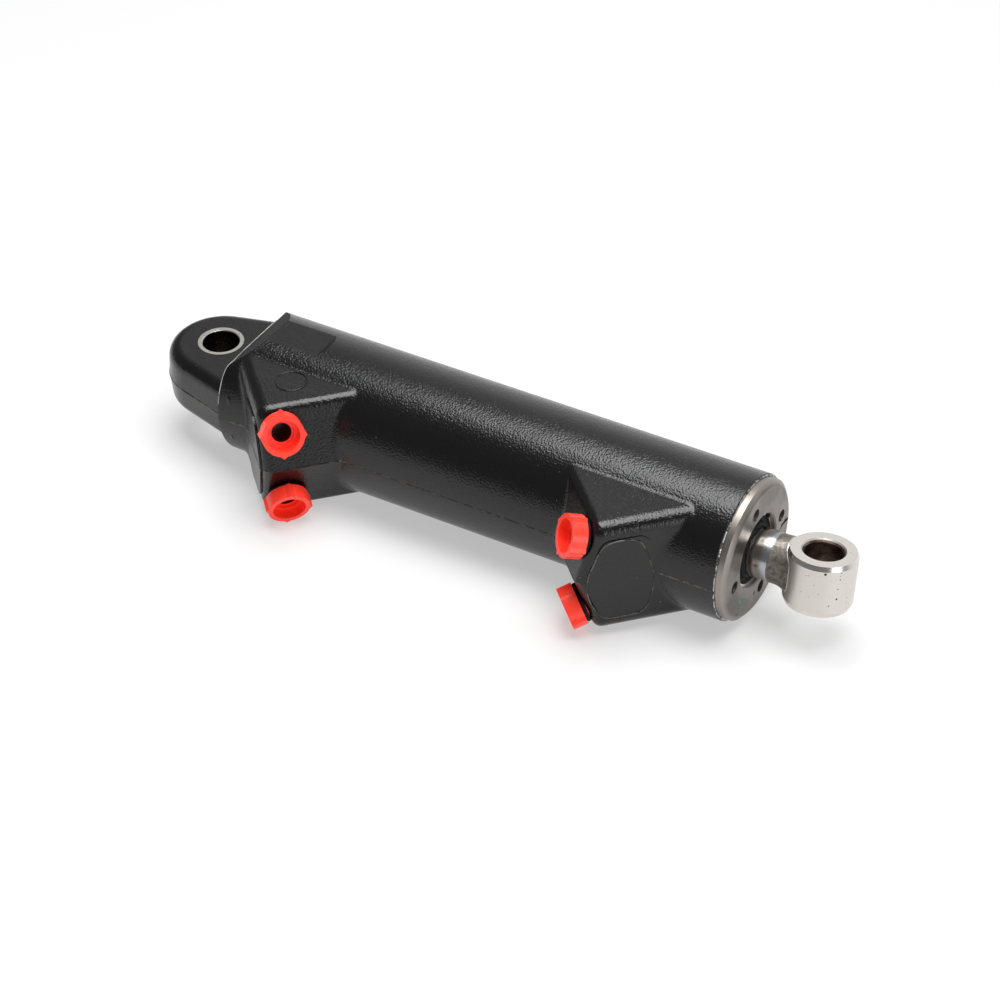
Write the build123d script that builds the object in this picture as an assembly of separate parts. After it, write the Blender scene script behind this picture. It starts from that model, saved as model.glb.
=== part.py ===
from build123d import *
import math
import os

# Hydraulic trim cylinder of a sterndrive: a cast iron barrel with a mounting lug at its
# blind end and two port bosses on one side, a screwed gland, and a rod with an eye.
# Row frame: the origin is the centre of the bore in the base eye, +X runs along the
# barrel to the rod eye, and +Z is the axis of the base eye's pin. Millimetres.

# Cylinder body, barrel
BORE_R = 30.0
BARREL_WALL = 7.5
BARREL_BACK_X = 22.5
BARREL_END_WALL = 18.5
BARREL_END_ROUND = 4.0
BARREL_SLOPE_LENGTH = 15.7
BARREL_SLOPE_DROP = 11.7
BARREL_FRONT_CHAMFER = 0.8
BORE_BOTTOM_ROUND = 2.0
CROWN_FLAT_DEPTH = 1.3
CROWN_FLAT_LENGTH = 46.5
CROWN_FLAT_RUNOUT = 3.0

# Mounting lug at the blind end
LUG_HALF_THICKNESS = 16.5
LUG_R = 28.0
LUG_FLARE_DEG = 15.6
LUG_DRAFT_DEG = 4.0
LUG_EDGE_ROUND = 6.5
LUG_ROOT_SINK = 6.5
LUG_TAIL_SINK = 21.5
LUG_TAIL_INSET = 8.5

# Pins and bushes
PIN_BORE_R = 9.6
BASE_BUSH_WALL = 2.4
BASE_BUSH_PROUD = 0.2
BASE_BUSH_CHAMFER = 0.4
EYE_BUSH_WALL = 0.75

# Port bosses. Each one is a wedge that points away from the barrel at 45 degrees,
# with two port faces that lean back from a ridge at the middle plane.
BASE_BOSS_OFFSET = 43.5
ROD_BOSS_OFFSET = 55.9
BOSS_SIDE = {"base": 1, "rod": -1}
BOSS_TOP_DROP = 5.5
BOSS_REACH = 10.5
BOSS_PAD = 44.1
BOSS_INNER = -21.0
BOSS_TAIL = 14.0
PORT_LEAN_DEG = 18.3
BOSS_TOP_ROUND = 7.0
BOSS_PAD_ROUND = 5.0
BOSS_EDGE_ROUND = 2.5
BOSS_ROOT_ROUND = 5.0
PAD_RAISE = {"base": 1.0, "rod": 0.4}
PAD_MARGIN = 4.5
PAD_TOP_MARGIN = 8.0
PAD_INNER = 9.0
PAD_INNER_BOW = 2.5
PAD_CORNER_ROUND = 7.0

# Ports and their transit plugs
PORT_R = 8.0
PORT_DEPTH = 17.0
PORT_EDGE = 11.1
PORT_TOP_MARGIN = 12.0
PASSAGE_R = 4.0
PASSAGE_STOP = 7.0
PLUG_SHANK_LENGTH = 12.0
PLUG_SHANK_CLEARANCE = 0.05
PLUG_SHANK_WALL = 2.95
PLUG_FLOOR = 2.0
PLUG_OVERHANG = 2.8
PLUG_HEAD_LENGTH = 7.6
PLUG_WALL = 2.4
PLUG_SOCKET_DEPTH = 5.2
PLUG_STEP_WIDTH = 1.4
PLUG_STEP_DEPTH = 1.6
PLUG_RIB_COUNT = 4
PLUG_RIB_HEIGHT = 1.2
PLUG_RIB_WIDTH = 3.2
PLUG_RIB_TURN_DEG = -5.0
PORT_RING_CORD = 2.0
PORT_RING_FLAT = 0.7

# Gland
GLAND_FLANGE_SHY = 1.5
GLAND_FLANGE_LENGTH = 5.2
GLAND_BEVEL_LENGTH = 2.0
GLAND_BEVEL_DEPTH = 2.8
GLAND_THREAD_STEP = 2.5
GLAND_THREAD_LENGTH = 22.0
GLAND_PILOT_LENGTH = 9.5
GLAND_NOSE_LENGTH = 16.5
GLAND_NOSE_GAP = 6.0
GLAND_FIT = 0.03
SPANNER_HOLE_R = 3.2
SPANNER_WALL = 3.2
SPANNER_DEPTH = 6.0
SPANNER_COUNT = 4
SPANNER_TURN_DEG = 9.6
RECESS_WALL = 6.5
RECESS_DEPTH = 8.0
RECESS_CHAMFER = 0.7
STAKE_TURN_DEG = -5.0
STAKE_LENGTH = 8.0
STAKE_WIDTH = 1.6
STAKE_DEPTH = 0.8

# Rod, piston and nut
ROD_R = 12.5
ROD_RUNNING_FIT = 0.05
STROKE = 168.0
END_CLEARANCE = 0.5
NUT_HEIGHT = 12.0
NUT_FLATS = 24.0
ROD_TAIL = 0.5
SPIGOT_R = 8.0
SPIGOT_CHAMFER = 1.0
THREAD_FIT = 0.03
PISTON_LENGTH = 35.0
PISTON_CLEARANCE = 0.4
PISTON_CHAMFER = 1.0

# Rod eye
EYE_STAND_OUT = 33.15
EYE_WALL = 7.6
EYE_HALF_HEIGHT = 14.0
EYE_DROP = 1.1
EYE_BEVEL_LENGTH = 2.4
EYE_BEVEL_DEPTH = 0.95
EYE_MOUTH = 1.4
EYE_MOUTH_DEPTH = 1.6
EYE_TURN_DEG = -9.9
NECK_LENGTH = 23.35
NECK_SINK = 10.85
NECK_SIDE_INSET = 4.0
NECK_TOP_INSET = 1.6
NECK_WAIST_SHARE = 0.4
NECK_WAIST_PINCH = 0.5
NECK_WAIST_RISE = 0.1
NECK_CORNER_ROUND = 6.0

# Seal and guide sections
RING_GROOVE_WIDTH = 1.4
GLAND_RING_CORD = 2.6
PISTON_RING_CORD = 2.0
ROD_SEAL_LENGTH = 7.0
ROD_SEAL_DEPTH = 5.0
GUIDE_LENGTH = 9.0
GUIDE_DEPTH = 2.5
ROD_SEAL_OFFSET = 4.0
ROD_GUIDE_OFFSET = 4.0
WIPER_LENGTH = 4.5
WIPER_RELIEF = 0.8
WIPER_LIP = 1.2
WIPER_LIP_LENGTH = 1.6
RETAINER_THICKNESS = 1.2
RETAINER_WIDTH = 2.4
RETAINER_GROOVE_DEPTH = 1.0
RETAINER_GAP = 7.0
RETAINER_TURN_DEG = 40.0
PISTON_SEAL_LENGTH = 6.0
PISTON_SEAL_DEPTH = 4.5
PISTON_SEAL_RELIEF = 0.6
PISTON_GUIDE_LENGTH = 10.0
PISTON_GUIDE_DEPTH = 2.0
PISTON_GUIDE_OFFSET = 5.0
PISTON_SEAL_OFFSET = 8.0
GROOVE_SIDE_CLEARANCE = 0.1
GROOVE_FLOOR_CLEARANCE = 0.1
SEAL_FIT = 0.03

# How far a cutter runs past the surface it opens
OVERCUT = 1.0

# Radii that follow from the sizes above
BARREL_R = BORE_R + BARREL_WALL
BASE_BUSH_R = PIN_BORE_R + BASE_BUSH_WALL
EYE_BUSH_R = PIN_BORE_R + EYE_BUSH_WALL
EYE_R = PIN_BORE_R + EYE_WALL
ROD_HOLE_R = ROD_R + ROD_RUNNING_FIT
RECESS_R = ROD_R + RECESS_WALL
PISTON_R = BORE_R - PISTON_CLEARANCE
GLAND_FLANGE_R = BARREL_R - GLAND_FLANGE_SHY
GLAND_BEVEL_R = GLAND_FLANGE_R - GLAND_BEVEL_DEPTH
GLAND_THREAD_R = BORE_R + GLAND_THREAD_STEP
GLAND_NOSE_R = BORE_R - GLAND_NOSE_GAP
SPANNER_PITCH_R = RECESS_R + SPANNER_WALL + SPANNER_HOLE_R
STAKE_R = GLAND_BEVEL_R - STAKE_LENGTH / 2

# Places along the barrel, from the blind end to the rod eye
BORE_BOTTOM_X = BARREL_BACK_X + BARREL_END_WALL
ROD_END_X = BORE_BOTTOM_X + END_CLEARANCE
NUT_BACK_X = ROD_END_X + ROD_TAIL
PISTON_BACK_X = NUT_BACK_X + NUT_HEIGHT
PISTON_FRONT_X = PISTON_BACK_X + PISTON_LENGTH
PISTON_GUIDE_X = PISTON_BACK_X + PISTON_GUIDE_OFFSET
PISTON_SEAL_X = PISTON_FRONT_X - PISTON_SEAL_OFFSET - PISTON_SEAL_LENGTH
PISTON_RING_X = (PISTON_BACK_X + PISTON_FRONT_X) / 2
GLAND_NOSE_X = PISTON_FRONT_X + STROKE + END_CLEARANCE
GLAND_SHOULDER_X = GLAND_NOSE_X + GLAND_NOSE_LENGTH
GLAND_PILOT_X = GLAND_SHOULDER_X + GLAND_PILOT_LENGTH
BARREL_FRONT_X = GLAND_PILOT_X + GLAND_THREAD_LENGTH
GLAND_FACE_X = BARREL_FRONT_X + GLAND_FLANGE_LENGTH
GLAND_RING_X = (GLAND_SHOULDER_X + GLAND_PILOT_X) / 2
ROD_GUIDE_X = GLAND_NOSE_X + ROD_GUIDE_OFFSET
ROD_SEAL_X = GLAND_PILOT_X + ROD_SEAL_OFFSET
RECESS_FLOOR_X = GLAND_FACE_X - RECESS_DEPTH
RETAINER_X = RECESS_FLOOR_X + WIPER_LENGTH
EYE_X = GLAND_FACE_X + EYE_STAND_OUT
WELD_X = EYE_X - NECK_LENGTH
NECK_END_X = EYE_X - NECK_SINK
CROWN_FLAT_END_X = BARREL_BACK_X + CROWN_FLAT_LENGTH

# The bosses and the ports in them
BOSS_APEX_X = {"base": BARREL_BACK_X + BASE_BOSS_OFFSET, "rod": BARREL_FRONT_X - ROD_BOSS_OFFSET}
BOSS_HALF_HEIGHT = BARREL_R - BOSS_TOP_DROP
BOSS_RIDGE = BARREL_R + BOSS_REACH
PORT_LEAN = math.radians(PORT_LEAN_DEG)
PORT_ALONG = PORT_EDGE - BOSS_PAD
PORT_Z = BOSS_HALF_HEIGHT - PORT_TOP_MARGIN
PASSAGE_DEPTH = BOSS_RIDGE - PASSAGE_STOP


def revolve_about_x(points):
    """Turned piece: a closed outline of (x, radius) points, revolved about the X axis."""
    outline = make_face(Polyline(*[(x, radius) for x, radius in points], close=True))
    return revolve(outline, axis=Axis.X)


def tube_x(start, end, outer, inner):
    """Plain ring or sleeve about the X axis."""
    return revolve_about_x([(start, inner), (end, inner), (end, outer), (start, outer)])


def rod_x(start, end, radius):
    """Plain cylinder about the X axis."""
    return Pos((start + end) / 2, 0, 0) * Rot(0, 90, 0) * Cylinder(radius, end - start)


def ring_x(centre, radius, cord):
    """Round rubber ring about the X axis."""
    return revolve(Pos(centre, radius) * Circle(cord / 2), axis=Axis.X)


# Port frames

def port_plane(end, half):
    """Plane on a port face: its origin is the port's centre and its normal points out."""
    side = BOSS_SIDE[end]
    out = Vector(side, -1, 0).normalized()
    along = Vector(side, 1, 0).normalized()
    reach = BOSS_RIDGE - PORT_Z * math.tan(PORT_LEAN)
    centre = Vector(BOSS_APEX_X[end], 0, half * PORT_Z) + out * reach + along * PORT_ALONG
    normal = out * math.cos(PORT_LEAN) + Vector(0, 0, half * math.sin(PORT_LEAN))
    return Plane(origin=centre, x_dir=along, z_dir=normal)


def boss_plane(end):
    """Section plane at a boss's pad face: X runs out to the ridge and Z runs off the pad."""
    side = BOSS_SIDE[end]
    out = Vector(side, -1, 0).normalized()
    along = Vector(side, 1, 0).normalized()
    return Plane(origin=Vector(BOSS_APEX_X[end], 0, 0) - along * BOSS_PAD, x_dir=out, z_dir=along)


# Cylinder body

def make_barrel():
    """Round barrel, chamfered at the gland end and left over length at the blind end."""
    tube = rod_x(BARREL_BACK_X - BARREL_R, BARREL_FRONT_X, BARREL_R)
    front_rim = tube.edges().sort_by(Axis.X)[-1]
    return chamfer(front_rim, BARREL_FRONT_CHAMFER)


def make_end_slab():
    """Side outline with both edges of the blind end sloped off, run across barrel and bosses."""
    low = BARREL_R - BARREL_SLOPE_DROP
    slope_end = BARREL_BACK_X + BARREL_SLOPE_LENGTH
    side_view = make_face(Polyline(
        (BARREL_BACK_X, -low),
        (slope_end, -BARREL_R),
        (BARREL_FRONT_X, -BARREL_R),
        (BARREL_FRONT_X, BARREL_R),
        (slope_end, BARREL_R),
        (BARREL_BACK_X, low),
        close=True,
    ))
    corners = side_view.vertices().sort_by(Axis.X)[:2]
    side_view = fillet(corners, BARREL_END_ROUND)
    return extrude(Plane.XZ.offset(-BARREL_R) * side_view, BARREL_R + 2 * BOSS_RIDGE)


def make_crown_flat(half):
    """Shallow flat on the crown of the blind end, which runs out in a soft step."""
    low = BARREL_R - CROWN_FLAT_DEPTH
    high = BARREL_R + CROWN_FLAT_DEPTH
    rise = high - low
    runout_x = CROWN_FLAT_END_X - CROWN_FLAT_RUNOUT
    side_view = make_face(Polyline(
        (0, low),
        (runout_x, low),
        (runout_x + CROWN_FLAT_RUNOUT * rise / CROWN_FLAT_DEPTH, high),
        (0, high),
        close=True,
    ))
    cutter = extrude(Plane.XZ * side_view, BARREL_R, both=True)
    return cutter if half > 0 else mirror(cutter, Plane.XY)


def make_lug():
    """Flat lug: a round end that flares into the barrel, drafted from its middle plane."""
    flare = math.radians(LUG_FLARE_DEG)
    tangent = (-LUG_R * math.sin(flare), LUG_R * math.cos(flare))
    root_x = BARREL_BACK_X + LUG_ROOT_SINK
    root_y = tangent[1] + (root_x - tangent[0]) * math.tan(flare)
    tail_x = BARREL_BACK_X + LUG_TAIL_SINK
    tail_y = BARREL_R - LUG_TAIL_INSET
    upper = Polyline(tangent, (root_x, root_y), (tail_x, tail_y))
    tail = Line((tail_x, tail_y), (tail_x, -tail_y))
    lower = Polyline((tail_x, -tail_y), (root_x, -root_y), (tangent[0], -tangent[1]))
    nose = ThreePointArc((tangent[0], -tangent[1]), (-LUG_R, 0), tangent)
    outline = make_face([upper, tail, lower, nose])
    half = extrude(outline, LUG_HALF_THICKNESS, taper=LUG_DRAFT_DEG)
    side = max(half.faces(), key=lambda face: abs(face.center().Z))
    half = fillet(side.outer_wire().edges(), LUG_EDGE_ROUND)
    return half + mirror(half, Plane.XY)


def make_boss(end):
    """Wedge boss: a section with two leaning port faces, run off its pad at 45 degrees.
    Its rear part stays inside the barrel, short of the middle."""
    shoulder = BOSS_RIDGE - BOSS_HALF_HEIGHT * math.tan(PORT_LEAN)
    plane = boss_plane(end)
    section = make_face(Polyline(
        (BOSS_INNER, -BOSS_HALF_HEIGHT),
        (shoulder, -BOSS_HALF_HEIGHT),
        (BOSS_RIDGE, 0),
        (shoulder, BOSS_HALF_HEIGHT),
        (BOSS_INNER, BOSS_HALF_HEIGHT),
        close=True,
    ))
    boss = extrude(plane * section, BOSS_PAD + BOSS_TAIL)
    pad_rim = [
        edge for edge in boss.edges()
        if abs(plane.to_local_coords(edge.center()).Z) < 0.01
        and plane.to_local_coords(edge.center()).X > 0
    ]
    top_rim = [
        edge for edge in pad_rim
        if abs(plane.to_local_coords(edge.center()).Y) > BOSS_HALF_HEIGHT - 0.01
    ]
    boss = fillet(top_rim, BOSS_TOP_ROUND)
    port_rim = [
        edge for edge in boss.edges().filter_by(GeomType.LINE)
        if abs(plane.to_local_coords(edge.center()).Z) < 0.01
        and plane.to_local_coords(edge.center()).X > 0
        and abs(edge.tangent_at(0.5).dot(plane.x_dir)) < math.cos(PORT_LEAN)
    ]
    boss = fillet(port_rim, BOSS_PAD_ROUND)
    long_edges = [
        edge for edge in boss.edges().filter_by(GeomType.LINE)
        if abs(abs(edge.tangent_at(0.5).dot(plane.z_dir)) - 1) < 0.001
        and plane.to_local_coords(edge.center()).X > 0
    ]
    boss = fillet(long_edges, BOSS_EDGE_ROUND)
    near_side = Box(4 * BOSS_RIDGE, 2 * BOSS_RIDGE, 2 * BOSS_RIDGE)
    return boss & Pos(BOSS_APEX_X[end], -BOSS_RIDGE, 0) * near_side


def round_boss_roots(casting):
    """Cast radius in the valleys where the bosses leave the round of the barrel."""
    roots = []
    for edge in casting.edges().filter_by(GeomType.CIRCLE, reverse=True):
        spots = [edge.position_at(share) for share in (0.1, 0.5, 0.9)]
        on_barrel = all(abs(math.hypot(spot.Y, spot.Z) - BARREL_R) < 0.02 for spot in spots)
        if on_barrel and all(spot.Y < -1 for spot in spots):
            roots.append(edge)
    return fillet(roots, BOSS_ROOT_ROUND)


def make_pad(end):
    """Slightly raised area on the pad face, its outline parallel to the boss section."""
    slope = math.tan(PORT_LEAN)
    tip = BOSS_RIDGE - PAD_MARGIN
    top = BOSS_HALF_HEIGHT - PAD_TOP_MARGIN
    outline = make_face(Polyline(
        (PAD_INNER + PAD_INNER_BOW, top),
        (tip - top * slope, top),
        (tip, 0),
        (tip - top * slope, -top),
        (PAD_INNER + PAD_INNER_BOW, -top),
        (PAD_INNER, 0),
        close=True,
    ))
    outline = fillet(outline.vertices(), PAD_CORNER_ROUND)
    return extrude(boss_plane(end).offset(-PAD_RAISE[end]) * outline, 2 * PAD_RAISE[end])


def make_port_drilling(end, half):
    """Threaded port and the passage that runs on from it into the bore, as one cutter."""
    plane = port_plane(end, half)
    port = plane * Pos(0, 0, (OVERCUT - PORT_DEPTH) / 2) * Cylinder(PORT_R, PORT_DEPTH + OVERCUT)
    passage = plane * Pos(0, 0, -PASSAGE_DEPTH / 2) * Cylinder(PASSAGE_R, PASSAGE_DEPTH)
    return port + passage


def make_cylinder_body():
    """Cast iron body: barrel, lug and bosses in one casting, then its machining."""
    casting = make_barrel()
    for end in BOSS_APEX_X:
        casting += make_boss(end)
    casting = round_boss_roots(casting) & make_end_slab()
    for end in BOSS_APEX_X:
        casting += make_pad(end)
    for half in (1, -1):
        casting -= make_crown_flat(half)
    casting += make_lug()

    bore = rod_x(BORE_BOTTOM_X, BARREL_FRONT_X + OVERCUT, BORE_R)
    bore = fillet(bore.edges().sort_by(Axis.X)[0], BORE_BOTTOM_ROUND)
    casting -= bore
    casting -= rod_x(GLAND_PILOT_X, BARREL_FRONT_X + OVERCUT, GLAND_THREAD_R)
    casting -= Cylinder(BASE_BUSH_R, 2 * BARREL_R)
    for end in BOSS_APEX_X:
        for half in (1, -1):
            casting -= make_port_drilling(end, half)
    return casting


# Base eye bush

def make_base_eye_bush():
    """Steel bush pressed through the lug, just proud of both faces."""
    half = LUG_HALF_THICKNESS + BASE_BUSH_PROUD
    bush = Cylinder(BASE_BUSH_R, 2 * half) - Cylinder(PIN_BORE_R, 2 * half)
    mouth = bush.edges().filter_by(GeomType.CIRCLE).filter_by(
        lambda edge: abs(edge.radius - PIN_BORE_R) < 0.01
    )
    return chamfer(mouth, BASE_BUSH_CHAMFER)


# Gland and what it carries

def make_gland():
    """Screwed gland: bevelled flange, threaded length, pilot, and a nose that clears the ports."""
    gland = revolve_about_x([
        (GLAND_NOSE_X, ROD_HOLE_R),
        (GLAND_NOSE_X, GLAND_NOSE_R),
        (GLAND_SHOULDER_X, GLAND_NOSE_R),
        (GLAND_SHOULDER_X, BORE_R - GLAND_FIT),
        (GLAND_PILOT_X, BORE_R - GLAND_FIT),
        (GLAND_PILOT_X, GLAND_THREAD_R - GLAND_FIT),
        (BARREL_FRONT_X, GLAND_THREAD_R - GLAND_FIT),
        (BARREL_FRONT_X, GLAND_FLANGE_R),
        (GLAND_FACE_X - GLAND_BEVEL_LENGTH, GLAND_FLANGE_R),
        (GLAND_FACE_X, GLAND_BEVEL_R),
        (GLAND_FACE_X, RECESS_R + RECESS_CHAMFER),
        (GLAND_FACE_X - RECESS_CHAMFER, RECESS_R),
        (RECESS_FLOOR_X, RECESS_R),
        (RECESS_FLOOR_X, ROD_HOLE_R),
    ])
    ring_groove = GLAND_RING_CORD * RING_GROOVE_WIDTH
    gland -= tube_x(
        GLAND_RING_X - ring_groove / 2,
        GLAND_RING_X + ring_groove / 2,
        BORE_R,
        BORE_R - GLAND_RING_CORD - GROOVE_FLOOR_CLEARANCE,
    )
    gland -= tube_x(
        ROD_GUIDE_X - GROOVE_SIDE_CLEARANCE,
        ROD_GUIDE_X + GUIDE_LENGTH + GROOVE_SIDE_CLEARANCE,
        ROD_R + GUIDE_DEPTH + GROOVE_FLOOR_CLEARANCE,
        ROD_R,
    )
    gland -= tube_x(
        ROD_SEAL_X - GROOVE_SIDE_CLEARANCE,
        ROD_SEAL_X + ROD_SEAL_LENGTH + GROOVE_SIDE_CLEARANCE,
        ROD_R + ROD_SEAL_DEPTH + GROOVE_FLOOR_CLEARANCE,
        ROD_R,
    )
    gland -= tube_x(
        RETAINER_X - GROOVE_SIDE_CLEARANCE,
        RETAINER_X + RETAINER_THICKNESS + GROOVE_SIDE_CLEARANCE,
        RECESS_R + RETAINER_GROOVE_DEPTH,
        RECESS_R - OVERCUT,
    )
    hole = rod_x(GLAND_FACE_X - SPANNER_DEPTH, GLAND_FACE_X + OVERCUT, SPANNER_HOLE_R)
    for index in range(SPANNER_COUNT):
        turn = SPANNER_TURN_DEG + index * 360 / SPANNER_COUNT
        gland -= Rot(turn, 0, 0) * Pos(0, SPANNER_PITCH_R, 0) * hole
    stake = Box(2 * STAKE_DEPTH, STAKE_LENGTH, STAKE_WIDTH)
    gland -= Rot(STAKE_TURN_DEG, 0, 0) * Pos(GLAND_FACE_X, STAKE_R, 0) * stake
    return gland


def make_gland_o_ring():
    """Static ring that seals the gland's pilot in the bore."""
    radius = BORE_R - (GLAND_RING_CORD + GROOVE_FLOOR_CLEARANCE) / 2
    return ring_x(GLAND_RING_X, radius, GLAND_RING_CORD)


def make_rod_guide_ring():
    """Bearing strip that carries the rod in the gland's nose."""
    return tube_x(ROD_GUIDE_X, ROD_GUIDE_X + GUIDE_LENGTH, ROD_R + GUIDE_DEPTH, ROD_R + SEAL_FIT)


def make_rod_seal():
    """Lip seal on the rod, its groove towards the pressure side."""
    inner = ROD_R + SEAL_FIT
    outer = ROD_R + ROD_SEAL_DEPTH
    middle = (inner + outer) / 2
    lip = ROD_SEAL_DEPTH / 4
    return revolve_about_x([
        (ROD_SEAL_X, inner),
        (ROD_SEAL_X, middle - lip),
        (ROD_SEAL_X + ROD_SEAL_LENGTH / 2, middle),
        (ROD_SEAL_X, middle + lip),
        (ROD_SEAL_X, outer),
        (ROD_SEAL_X + ROD_SEAL_LENGTH, outer),
        (ROD_SEAL_X + ROD_SEAL_LENGTH, inner),
    ])


def make_rod_wiper():
    """Dirt wiper in the gland's recess: a rubber ring with a lip that rides on the rod."""
    inner = ROD_R + SEAL_FIT
    back = RECESS_FLOOR_X
    return revolve_about_x([
        (back, inner + WIPER_RELIEF),
        (back, RECESS_R - GLAND_FIT),
        (RETAINER_X, RECESS_R - GLAND_FIT),
        (RETAINER_X, inner + 2 * WIPER_LIP),
        (RETAINER_X + WIPER_LIP_LENGTH, inner + WIPER_LIP),
        (RETAINER_X + WIPER_LIP_LENGTH, inner),
        (RETAINER_X, inner + WIPER_RELIEF),
    ])


def make_wiper_retainer():
    """Open spring ring that holds the wiper in the recess."""
    outer = RECESS_R + RETAINER_GROOVE_DEPTH - GLAND_FIT
    ring = tube_x(RETAINER_X, RETAINER_X + RETAINER_THICKNESS, outer, outer - RETAINER_WIDTH)
    gap = Pos(RETAINER_X, outer, 0) * Box(4 * RETAINER_THICKNESS, 3 * RETAINER_WIDTH, RETAINER_GAP)
    return ring - Rot(RETAINER_TURN_DEG, 0, 0) * gap


# Piston rod and what turns with it

def make_piston_rod():
    """Chromed rod with a reduced tail that carries the piston and its nut."""
    rod = rod_x(PISTON_FRONT_X, WELD_X, ROD_R)
    tail = rod_x(ROD_END_X, PISTON_FRONT_X, SPIGOT_R)
    tail = chamfer(tail.edges().sort_by(Axis.X)[0], SPIGOT_CHAMFER)
    return rod + tail


def make_piston():
    """Piston with a groove for its guide strip, one for its seal and one for the bore ring."""
    bore = SPIGOT_R + THREAD_FIT
    piston = revolve_about_x([
        (PISTON_BACK_X, bore),
        (PISTON_BACK_X, PISTON_R - PISTON_CHAMFER),
        (PISTON_BACK_X + PISTON_CHAMFER, PISTON_R),
        (PISTON_FRONT_X - PISTON_CHAMFER, PISTON_R),
        (PISTON_FRONT_X, PISTON_R - PISTON_CHAMFER),
        (PISTON_FRONT_X, bore),
    ])
    for start, length, depth in (
        (PISTON_GUIDE_X, PISTON_GUIDE_LENGTH, PISTON_GUIDE_DEPTH),
        (PISTON_SEAL_X, PISTON_SEAL_LENGTH, PISTON_SEAL_DEPTH),
    ):
        piston -= tube_x(
            start - GROOVE_SIDE_CLEARANCE,
            start + length + GROOVE_SIDE_CLEARANCE,
            BORE_R,
            BORE_R - SEAL_FIT - depth - GROOVE_FLOOR_CLEARANCE,
        )
    ring_groove = PISTON_RING_CORD * RING_GROOVE_WIDTH
    piston -= tube_x(
        PISTON_RING_X - ring_groove / 2,
        PISTON_RING_X + ring_groove / 2,
        SPIGOT_R + PISTON_RING_CORD + GROOVE_FLOOR_CLEARANCE,
        SPIGOT_R,
    )
    return piston


def make_piston_guide_ring():
    """Bearing strip that carries the piston on the bore."""
    outer = BORE_R - SEAL_FIT
    return tube_x(
        PISTON_GUIDE_X, PISTON_GUIDE_X + PISTON_GUIDE_LENGTH, outer, outer - PISTON_GUIDE_DEPTH
    )


def make_piston_seal():
    """Piston seal: a square ring with a shallow relief on its sliding face."""
    outer = BORE_R - SEAL_FIT
    inner = outer - PISTON_SEAL_DEPTH
    land = PISTON_SEAL_LENGTH / 3
    return revolve_about_x([
        (PISTON_SEAL_X, inner),
        (PISTON_SEAL_X, outer),
        (PISTON_SEAL_X + land, outer),
        (PISTON_SEAL_X + PISTON_SEAL_LENGTH / 2, outer - PISTON_SEAL_RELIEF),
        (PISTON_SEAL_X + PISTON_SEAL_LENGTH - land, outer),
        (PISTON_SEAL_X + PISTON_SEAL_LENGTH, outer),
        (PISTON_SEAL_X + PISTON_SEAL_LENGTH, inner),
    ])


def make_piston_o_ring():
    """Static ring between the piston and the rod's tail."""
    radius = SPIGOT_R + (PISTON_RING_CORD + GROOVE_FLOOR_CLEARANCE) / 2
    return ring_x(PISTON_RING_X, radius, PISTON_RING_CORD)


def make_piston_nut():
    """Hexagon nut that clamps the piston on the rod's tail."""
    plane = Plane(origin=(NUT_BACK_X, 0, 0), x_dir=(0, 1, 0), z_dir=(1, 0, 0))
    hexagon = RegularPolygon(NUT_FLATS / 2, 6, major_radius=False)
    corner_r = NUT_FLATS / math.sqrt(3)
    blank = extrude(plane * hexagon, NUT_HEIGHT)
    crown = rod_x(NUT_BACK_X, NUT_BACK_X + NUT_HEIGHT, corner_r)
    crown = chamfer(crown.edges().sort_by(Axis.X)[0], corner_r - NUT_FLATS / 2)
    thread = rod_x(NUT_BACK_X - OVERCUT, PISTON_BACK_X + OVERCUT, SPIGOT_R + THREAD_FIT)
    return (blank & crown) - thread


# Rod eye

def make_neck():
    """Rough forged neck that grows from the rod's round to the width of the eye."""
    weld = Plane(origin=(WELD_X, 0, 0), x_dir=(0, 1, 0), z_dir=(1, 0, 0))
    length = NECK_END_X - WELD_X
    waist_width = 2 * (ROD_R - NECK_WAIST_PINCH)
    waist_height = 2 * (ROD_R + NECK_WAIST_RISE)
    end_width = 2 * (EYE_R - NECK_SIDE_INSET)
    end_height = 2 * (EYE_HALF_HEIGHT - NECK_TOP_INSET)
    waist = RectangleRounded(waist_width, waist_height, waist_width / 2 - NECK_WAIST_PINCH)
    end = RectangleRounded(end_width, end_height, NECK_CORNER_ROUND)
    return loft([
        weld * Circle(ROD_R),
        weld.offset(length * NECK_WAIST_SHARE) * waist,
        weld.offset(length) * Pos(0, -EYE_DROP) * end,
    ])


def make_rod_eye():
    """Machined eye on its forged neck, welded to the rod with its middle below the rod's axis."""
    middle = Pos(EYE_X, 0, -EYE_DROP)
    eye = Cylinder(EYE_R, 2 * EYE_HALF_HEIGHT)
    side = eye.faces().filter_by(GeomType.CYLINDER)[0]
    rims = eye.edges().filter_by(GeomType.CIRCLE)
    eye = chamfer(rims, EYE_BEVEL_LENGTH, EYE_BEVEL_DEPTH, reference=side)
    eye = middle * eye + make_neck()
    eye -= middle * Cylinder(EYE_BUSH_R, 4 * EYE_HALF_HEIGHT)
    eye -= make_eye_mouths()
    return Rot(EYE_TURN_DEG, 0, 0) * eye


def make_eye_mouths():
    """Two cones that open the eye's bore at both faces, across the eye and its bush."""
    depth = EYE_MOUTH_DEPTH
    cone = Cone(PIN_BORE_R, PIN_BORE_R + EYE_MOUTH, depth)
    upper = Pos(0, 0, EYE_HALF_HEIGHT - depth / 2) * cone
    return Pos(EYE_X, 0, -EYE_DROP) * (upper + mirror(upper, Plane.XY))


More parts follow.
